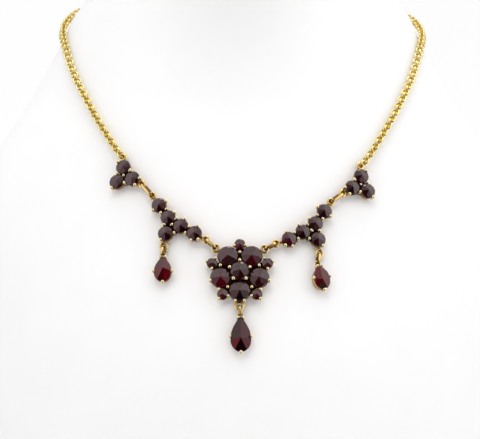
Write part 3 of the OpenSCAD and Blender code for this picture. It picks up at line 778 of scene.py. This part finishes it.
def pear_collet(w, tip, foot, full):
    """the pear's cup: outlines at rising heights, then down inside"""
    rows = [(0.0, 0.48, 0.5, 0.3), (0.06, 0.38, 0.42, 0.25), (0.42, 0.36, 0.4, 0.24), (0.5, 0.42, 0.44, 0.28), (0.8, 0.4, 0.42, 0.26),
            (1.2, 0.24, 0.26, 0.15), (1.4, 0.12, 0.14, 0.08), (1.55, 0.1, 0.12, 0.07), (1.6, 0.18, 0.2, 0.11),
            (1.6, 0.5, 0.6, 0.28), (1.4, 0.8, 1.0, 0.45), (0.7, 0.95, 1.2, 0.5)]
    v, f = [], []
    n = 64
    for z, dw, dt, df in rows:
        v += [(x, y, z) for x, y in pear(w - dw, tip - dt, foot - df, full, n)]
    for i in range(len(rows) - 1):
        for k in range(n):
            k2 = (k + 1) % n
            f.append((i * n + k, i * n + k2, (i + 1) * n + k2, (i + 1) * n + k))
    f.append(tuple(range(n))[::-1])
    f.append(tuple(range((len(rows) - 1) * n, len(rows) * n)))
    v = np.array(v)
    # painted shade: darker towards the foot of the cup
    return v, f, np.clip((1.5 - v[:, 2]) / 0.9, 0, 1) * 0.42


def through(p, q, r):
    """the plane through three points, as z = c - a x - b y"""
    p, q, r = (np.asarray(v, float) for v in (p, q, r))
    n = np.cross(q - p, r - p)
    n = n / n[2]
    return (n[0], n[1], float(np.dot(n, p)))


# the highest point, the corners that the main facets reach from the left one round below to the right one, and the
# painted red light of
# each main facet: upper left, upper right, then the lower ones from left to right
DROP_CUT = [dict(top=(0.0, 0.55), sides=(0.5, 0.26), low=[(-1.65, -2.6, 0.45), (1.55, -2.65, 0.26)], red=(0.015, 0.03, 0.075, 0.005, 0.055)),
            dict(top=(0.1, 0.95), sides=(0.34, 0.77), low=[(-1.58, -2.15, 0.34), (0.45, -2.8, 0.1)], red=(0.04, 0.06, 0.1, 0.034, 0.095)),
            dict(top=(-0.35, -0.5), sides=(0.62, 0.62), low=[(-1.5, -2.4, 0.3), (0.9, -2.85, 0.65)], red=(0.08, 0.06, 0.065, 0.015, 0.07))]
for i, which in enumerate(("centre", "left", "right")):
    w, tip, foot, h, full = DROP_SIZES[i]
    seat = DROPS[i]
    g = Setting(seat)
    g.put(*pear_collet(w, tip, foot, full))
    claw_x = w / 2 * (1 - (1 - 0.3 / tip) ** full) + CLAW_D / 2 + 0.28
    claw_y = CLAW_UP[i]
    for a in (0, 180):
        g.edge_claw((0, claw_y), w * (1 - (claw_y / tip) ** full), a, bead=BEAD_D * (0.66 if i == 2 and a == 0 else 1.0), long=1.15, dirn=(0, 1))
    g.edge_claw((0, 0), 2 * foot, 270, bead=BEAD_D * (1.1 if i == 0 else 1.0), long=1.1 if i < 2 else 1.5, dirn=(0, 1) if i < 2 else (1, 0.1))
    for s in (-1, 1):
        claw_at = np.array([s * claw_x, tip - 0.3])
        claw_foot = claw_at + 0.8 * unit(np.array([0, tip - 1.7]) - claw_at) if (i, s) == (2, -1) else None
        g.bar((0, tip - 1.5), claw_at if claw_foot is None else claw_foot, 0.6)
        g.claw(claw_at, lean=(-0.12 * s, 0.05), bead=BEAD_D * (0.85 if s == (-1, 1, -1)[i] else 0.66), foot=claw_foot)
    g.tied_ring((0, tip - 1.3), 1.2, (0, tip + DROP_RING_UP[i]), DROP_RING_R, DROP_RING_Z, DROP_WIRE)
    g.build("drop_%s_setting_gold" % which, M_GOLD, "gold", "drop_%s_setting" % which)

    cutting = DROP_CUT[i]
    apex = (*cutting["top"], GIRDLE + h)
    corners = [(0, tip * 0.96, 0.34), (-w / 2 * 0.94, 0.0, cutting["sides"][0])] + cutting["low"]
    corners += [(w / 2 * 0.94, 0.0, cutting["sides"][1]), (0, tip * 0.96, 0.34)]
    corners = [(x, y, GIRDLE + z) for x, y, z in corners]
    order = [cutting["red"][0]] + list(cutting["red"][2:]) + [cutting["red"][1]]
    facets = [(through(apex, p, q), red) for p, q, red in zip(corners, corners[1:], order)]
    hr = random.Random(which)
    outline = pear(w, tip, foot, full, 72)
    for k in range(0, 72, 6):                             # along the rim
        p = outline[(k + 3) % 72]
        t = outline[(k + 5) % 72] - outline[(k + 1) % 72]
        a = math.degrees(math.atan2(-t[0], t[1]))
        near = max(facets[:5], key=lambda f: p @ unit([f[0][0], f[0][1]]))[1]
        facets.append((plane(a, 1.5 + hr.uniform(-0.08, 0.08), (*(p * 0.985), GIRDLE + 0.18)), near * hr.uniform(0.7, 1.2)))
    bm = gem(outline, [p for p, red in facets])
    finish_gem(bm, seat, (0, 0), STONE_Z, "drop_%s_stone_cut" % which, "drop_%s_stone" % which, M_DROP if i else M_DROP_DARK, facets, 0.02)


# ------------------------------------------------------------------ links between the pieces
def ring_end(seat, at, z, r, wire=RING_WIRE):
    return seat, seat.one(at[0], at[1], z), r, wire


def wire_point(p, q):
    seat, c, r, wire = p
    v = q[1] - c
    return c + r * unit(v - seat.n * np.dot(seat.n, v))


def stadium(half, r, n=9):
    """points round a long ring in its own plane"""
    straight = half - r
    pts = []
    for e, first in ((1, -90), (-1, 90)):
        for k in range(n + 1):
            a = math.radians(first + 180 * k / n)
            pts.append((e * straight + r * math.cos(a), r * math.sin(a)))
        for k in (1, 2):
            pts.append((e * straight * (1 - 2 * k / 3), e * r))
    return pts


def join(name, p, q, out, roll=0.0, wire=WIRE_D):
    a, b = wire_point(p, q), wire_point(q, p)
    d = unit(b - a)
    # the link's ends lie round the two wires
    a, b = a - d * ((p[3] + wire) / 2 + LINK_GAP), b + d * ((q[3] + wire) / 2 + LINK_GAP)
    half = np.linalg.norm(b - a) / 2
    mid = (a + b) / 2
    o = unit(out - d * np.dot(out, d))
    x = np.cross(d, o)
    c, s = math.cos(math.radians(roll)), math.sin(math.radians(roll))
    o = o * c + x * s
    x = np.cross(d, o)
    r = min(half - 0.02, 0.84)
    v, f = sweep([mid + d * u + o * w for u, w in stadium(half, r)], wire / 2, 16, True, flat=LINK_FLAT, flat_dir=x)
    v = np.asarray(v)
    # painted highlight: pale on the front of the wire that stands off the bust; painted shade: brown on its flanks and
    # on the one behind
    rel = v - mid
    w = rel @ o
    side = np.abs(rel @ x) / (wire / 2 * LINK_FLAT)
    g = Shell()
    g.add(v, f, np.clip(np.where(w > 0, -0.45 + 1.2 * side ** 1.4 + 0.6 * np.clip((r - w) / (wire / 2), 0, 1), 0.7), -0.4, 0.8))
    g.build(name + "_wire", M_GOLD, "gold", name)


for s in (-1, 1):
    side = SIDES[s]
    branch_in = ring_end(BRANCHES[s], mirrored(s, BRANCH_RINGS[s][1]), RING_Z, BRANCH_RING_R)
    branch_out_ = ring_end(BRANCHES[s], mirrored(s, BRANCH_RINGS[s][0]), RING_Z, BRANCH_RING_R)
    rosette_side = ring_end(ROSETTE, ROSETTE_RINGS[s], RING_Z, ROSETTE_RING_R)
    trefoil_in = ring_end(TREFOILS[s], mirrored(s, TREFOIL_RINGS[s][1]), RING_Z, TREFOIL_RING_R)
    hang = ring_end(BRANCHES[s], mirrored(s, BRANCH_LOOPS[s]), RING_Z, BRANCH_LOOP_R)
    i = 1 if s < 0 else 2
    drop_top = ring_end(DROPS[i], (0, DROP_SIZES[i][1] + DROP_RING_UP[i]), DROP_RING_Z, DROP_RING_R, DROP_WIRE)
    join("link_rosette_" + side, branch_in, rosette_side, bust_out(s * 10, 84))
    join("link_trefoil_" + side, trefoil_in, branch_out_, bust_out(s * 28, 99), roll=-s * 20)
    join("link_drop_" + side, hang, drop_top, bust_out(s * 22, 83), roll=-s * 11)
join("link_drop_centre", ring_end(ROSETTE, ROSETTE_LOOP, RING_Z, ROSETTE_LOOP_R),
     ring_end(DROPS[0], (0, DROP_SIZES[0][1] + DROP_RING_UP[0]), DROP_RING_Z, DROP_RING_R, DROP_WIRE), bust_out(0, 65))

# ------------------------------------------------------------------ the chain
ROUTES = {
    -1: [(27.2, 111.15, 0), (35, 120, 0), (45, 129.4, 0), (56, 137.9, 0), (67, 144.9, 0), (78, 149.3, 0.05), (90, 153.1, 0.2),
         (100, 157.1, 0.5), (112, 160, 0.4), (127, 162.5, 0.1), (142, 164.5, 0), (157, 165.8, 0), (173, 166.3, 0)],
    1: [(26.7, 108.4, 0), (35, 118.3, 0), (45, 127.8, 0), (56, 136.6, 0), (67, 143.7, 0), (78, 148.1, 0.05), (90, 151.5, 0.25),
        (100, 155, 0.7), (112, 158.7, 0.6), (127, 162, 0.1), (142, 164.3, 0), (157, 165.8, 0), (173, 166.3, 0)]}
CHAIN_OFF = CHAIN_W / 2 + BUST_GAP
CLASP_Z = 166.3
CLASP_Y = along(CLASP_Z, BACK) + CHAIN_OFF + 0.3
CLASP_L = 6.0


def route_at(rt, u, c):
    i = min(int(math.floor(u)), len(rt) - 2)
    s = u - i
    a, b, e, f = rt[max(i - 1, 0)][c], rt[i][c], rt[i + 1][c], rt[min(i + 2, len(rt) - 1)][c]
    m = (e - a) / (2 if i > 0 else 1)
    n = (f - b) / (2 if i < len(rt) - 2 else 1)
    return (2 * s**3 - 3 * s**2 + 1) * b + (s**3 - 2 * s**2 + s) * m + (3 * s**2 - 2 * s**3) * e + (s**3 - s**2) * n


LINK_WIRE = 0.6
LINK_L = 2.66                                             # a link's outer length
LINK_W = 2.68                                             # a link's outer width


def one_link(centre, d, o, roll, stretch=1.0):
    """an oval belcher link of flattened wire, its long axis along d"""
    x = np.cross(d, o)
    c, s = math.cos(math.radians(roll)), math.sin(math.radians(roll))
    a, b = o * c + x * s, x * c - o * s
    t = np.linspace(0, 2 * math.pi, 22, endpoint=False)
    rl, rw = (LINK_L * stretch - LINK_WIRE) / 2, (LINK_W - LINK_WIRE) / 2
    # a little squarer than an ellipse
    ct, st = np.cos(t), np.sin(t)
    k = 1 / (np.abs(ct) ** 2.3 + np.abs(st) ** 2.3) ** (1 / 2.3)
    pts = centre + (rl * ct * k)[:, None] * d + (rw * st * k)[:, None] * a
    return sweep(pts, LINK_WIRE / 2, 9, True, flat=1.15, flat_dir=b)


def build_chain(s):
    rt = ROUTES[s]
    start = TREFOILS[s].one(*mirrored(s, TREFOIL_RINGS[s][0]), RING_Z)
    pts = [start]
    for u in np.linspace(0.0, len(rt) - 1, 900):
        pts.append(round_bust(route_at(rt, u, 0), route_at(rt, u, 1), CHAIN_OFF + route_at(rt, u, 2), s))
    end = np.array([s * (CLASP_L / 2 + 0.65), CLASP_Y, CLASP_Z])
    pts = [p for k, p in enumerate(pts) if k == 0 or np.linalg.norm(p - start) > 1.5]
    pts.append(end)
    pts = np.array(pts)
    gap = np.linalg.norm(np.diff(pts, axis=0), axis=1)
    at = np.concatenate([[0], np.cumsum(gap)])
    first = TREFOIL_RING_R - (RING_WIRE + LINK_WIRE) / 2 - 0.04 + (LINK_L - LINK_WIRE) / 2
    last = at[-1] - (0.8 + (LINK_L - LINK_WIRE) / 2 - 0.55)
    count = int(round((last - first) / 1.485)) + 1
    g = Shell()
    hr = random.Random(7 + s)
    for k in range(count):
        w = first + (last - first) * k / (count - 1)
        c = np.array([np.interp(w, at, pts[:, j]) for j in range(3)])
        a1 = np.array([np.interp(w + 0.7, at, pts[:, j]) for j in range(3)])
        a0 = np.array([np.interp(w - 0.7, at, pts[:, j]) for j in range(3)])
        d = unit(a1 - a0)
        # the way off the bust at this point
        z = c[2]
        q = BACK if c[1] > 0 else FRONT
        out = unit([c[0] / along(z, HALF_W) ** 2, c[1] / along(z, q) ** 2, 0.004])
        out = unit(out - d * np.dot(out, d))
        roll = (45 if k % 2 else -45) + hr.uniform(-5, 5)
        d2 = unit(d + out * hr.uniform(-0.03, 0.03) + np.cross(d, out) * hr.uniform(-0.03, 0.03))
        out = unit(out - d2 * np.dot(out, d2))
        v, f = one_link(c, d2, out, roll)
        rel = v - c
        off = np.linalg.norm(rel - np.outer(rel @ d2, d2), axis=1)
        # painted shade: darker on the inner side of each link's wire, where the links hook into each other
        g.add(v, f, np.clip((1.12 - off) / 0.5, 0, 1) * 0.22)
    print("chain", s, "links", count, "pitch", (last - first) / (count - 1), "length", at[-1])
    g.build("chain_%s_links" % SIDES[s], M_CHAIN, "chain", "chain_" + SIDES[s], smooth=180)


for s in (-1, 1):
    build_chain(s)


def build_clasp():
    """a small barrel with a ring at each end"""
    h = CLASP_L / 2
    prof = [(0, -h), (0.7, -h), (0.95, -h + 0.05), (1.22, -h + 0.3), (1.3, -h + 0.55), (1.3, -h + 0.8), (1.2, -h + 0.9), (1.2, -h + 1.0), (1.28, -h + 1.15),
            (1.3, -1.0), (1.3, 1.0), (1.28, h - 1.15), (1.2, h - 1.0), (1.2, h - 0.9), (1.3, h - 0.8), (1.3, h - 0.55), (1.22, h - 0.3), (0.95, h - 0.05), (0.7, h), (0, h)]
    v, f = lathe(prof, 40)
    v = np.stack([v[:, 2], v[:, 1], -v[:, 0]], 1) + np.array([0, CLASP_Y, CLASP_Z])
    g = Shell()
    g.add(v, f, 0.0)
    for e in (-1, 1):
        t = np.linspace(0, 2 * math.pi, 32, endpoint=False)
        c = np.array([e * (h + 0.65), CLASP_Y, CLASP_Z])
        g.add(*sweep(c + np.stack([0.8 * np.cos(t), 0 * t, 0.8 * np.sin(t)], 1), 0.3, 12, True), 0.0)
    g.build("clasp_barrel", M_CHAIN, "chain", "clasp")


build_clasp()

# ------------------------------------------------------------------ floor, light and camera
me = bpy.data.meshes.new("floor")
R = 2.5
me.from_pydata([(R * math.cos(2 * math.pi * k / 64), R * math.sin(2 * math.pi * k / 64), -0.0003) for k in range(64)], [], [tuple(range(64))])
floor = bpy.data.objects.new("floor", me)
bpy.context.scene.collection.objects.link(floor)
fm, ft, fb = new_material("floor_pale", Roughness=0.8)
fb.inputs["Specular IOR Level"].default_value = 0.1
fn = noise(ft, 3, 2, 0.5)
fr = ramp(ft, [(0.3, (0.86, 0.86, 0.86)), (0.7, (0.9, 0.9, 0.9))])
ft.links.new(fn.outputs["Fac"], fr.inputs["Fac"])
ft.links.new(fr.outputs["Color"], fb.inputs["Base Color"])
me.materials.append(fm)
floor.visible_glossy = False

# a pale sweep of paper all round, joined to the floor; it is only a backdrop and takes no part in the lighting
me = bpy.data.meshes.new("backdrop")
rows = [(2.0, 0.0001), (2.15, 0.011), (2.3, 0.046), (2.42, 0.1), (2.5, 0.17), (2.55, 0.27), (2.57, 0.4), (2.57, 1.2), (2.57, 4.0)]
me.from_pydata([(r * math.cos(2 * math.pi * k / 96), r * math.sin(2 * math.pi * k / 96), z) for r, z in rows for k in range(96)], [],
               [(i * 96 + k, (i + 1) * 96 + k, (i + 1) * 96 + (k + 1) % 96, i * 96 + (k + 1) % 96) for i in range(len(rows) - 1) for k in range(96)])
for q in me.polygons:
    q.use_smooth = True
bm_, bt, bb = new_material("backdrop_pale", Roughness=0.9)
bn = noise(bt, 1.5, 2, 0.5)
br = ramp(bt, [(0.3, (0.95, 0.95, 0.95)), (0.7, (0.97, 0.97, 0.97))])
bt.links.new(bn.outputs["Fac"], br.inputs["Fac"])
bb.inputs["Base Color"].default_value = (0.02, 0.02, 0.02, 1)
bt.links.new(br.outputs["Color"], bb.inputs["Emission Color"])
bb.inputs["Emission Strength"].default_value = 1.0
me.materials.append(bm_)
backdrop = bpy.data.objects.new("backdrop", me)
bpy.context.scene.collection.objects.link(backdrop)
backdrop.visible_glossy = backdrop.visible_diffuse = backdrop.visible_shadow = backdrop.visible_transmission = False

# the light tent: white all round and brighter above right, with the dark opening for the camera in front
world = bpy.data.worlds.new("studio")
world.use_nodes = True
bpy.context.scene.world = world
wt = world.node_tree
bg = wt.nodes["Background"]
wc = wt.nodes.new("ShaderNodeTexCoord")
opening = node(wt, "ShaderNodeMapping")
opening.inputs["Location"].default_value = (0.0, 0.0, 0.45)
opening.inputs["Scale"].default_value = (3.2, 0.0, 1.74)
size_ = node(wt, "ShaderNodeVectorMath", operation="LENGTH")
wt.links.new(wc.outputs["Generated"], opening.inputs["Vector"])
wt.links.new(opening.outputs["Vector"], size_.inputs[0])
half_ = node(wt, "ShaderNodeMath", operation="MULTIPLY")
half_.inputs[1].default_value = 0.25
wt.links.new(size_.outputs["Value"], half_.inputs[0])
wr = ramp(wt, [(0.0, (0.008, 0.007, 0.008)), (0.27, (0.03, 0.028, 0.03)), (0.38, (0.17, 0.165, 0.165)), (0.5, (0.52, 0.51, 0.51)), (0.62, (0.98, 0.98, 0.985))])
wt.links.new(half_.outputs[0], wr.inputs["Fac"])
behind = node(wt, "ShaderNodeSeparateXYZ")
wt.links.new(wc.outputs["Generated"], behind.inputs[0])
back = node(wt, "ShaderNodeMapRange")
back.inputs["From Min"].default_value, back.inputs["From Max"].default_value = 0.0, 0.4
wt.links.new(behind.outputs["Y"], back.inputs["Value"])
mix = node(wt, "ShaderNodeMix", data_type="RGBA")
wt.links.new(back.outputs["Result"], mix.inputs["Factor"])
wt.links.new(wr.outputs["Color"], mix.inputs["A"])
mix.inputs["B"].default_value = (0.56, 0.56, 0.565, 1)
lamp = node(wt, "ShaderNodeVectorMath", operation="DOT_PRODUCT")
lamp.inputs[1].default_value = tuple(unit([0.5, -0.1, 0.85]))
wt.links.new(wc.outputs["Generated"], lamp.inputs[0])
gain = node(wt, "ShaderNodeMapRange", interpolation_type="SMOOTHSTEP")
gain.inputs["From Min"].default_value, gain.inputs["From Max"].default_value = 0.1, 1.0
gain.inputs["To Min"].default_value, gain.inputs["To Max"].default_value = 0.98, 1.32
wt.links.new(lamp.outputs["Value"], gain.inputs["Value"])
tint = node(wt, "ShaderNodeVectorMath", operation="SCALE")
wt.links.new(mix.outputs["Result"], tint.inputs[0])
wt.links.new(gain.outputs["Result"], tint.inputs["Scale"])
lamp2 = node(wt, "ShaderNodeVectorMath", operation="DOT_PRODUCT")
lamp2.inputs[1].default_value = tuple(unit([0.05, 0.14, 0.99]))
wt.links.new(wc.outputs["Generated"], lamp2.inputs[0])
spot = node(wt, "ShaderNodeMapRange", interpolation_type="SMOOTHSTEP")
spot.inputs["From Min"].default_value, spot.inputs["From Max"].default_value = 0.968, 0.99
spot.inputs["To Min"].default_value, spot.inputs["To Max"].default_value = 0.0, 3.0
wt.links.new(lamp2.outputs["Value"], spot.inputs["Value"])
both = node(wt, "ShaderNodeVectorMath", operation="ADD")
wt.links.new(tint.outputs["Vector"], both.inputs[0])
wt.links.new(spot.outputs["Result"], both.inputs[1])
wt.links.new(both.outputs["Vector"], bg.inputs["Color"])
bg.inputs["Strength"].default_value = 1.155


def area(name, at, aim, size, power, colour=(1, 1, 1)):
    l = bpy.data.lights.new(name, "AREA")
    l.shape = "DISK"
    l.size = size
    l.energy = power
    l.color = colour
    o = bpy.data.objects.new(name, l)
    bpy.context.scene.collection.objects.link(o)
    o.location = at
    o.rotation_euler = (Vector(aim) - Vector(at)).to_track_quat("-Z", "Y").to_euler()
    o.visible_glossy = False
    return o


area("key_top", (-0.1, -0.7, 0.85), (0, -0.05, 0.09), 0.6, 2.6, (1.0, 0.99, 0.98))

cam = bpy.data.cameras.new("camera")
cam.sensor_width = 36
cam.lens = 36 * 800 / (480 * 0.29)
cam.clip_start, cam.clip_end = 0.01, 50
co = bpy.data.objects.new("camera", cam)
bpy.context.scene.collection.objects.link(co)
co.location = (-0.0005, -0.866, 0.0917)
co.rotation_euler = (math.pi / 2, 0, 0)
bpy.context.scene.camera = co

bpy.context.scene.view_settings.view_transform = "Standard"
bpy.context.scene.view_settings.look = "None"

bpy.context.view_layer.update()
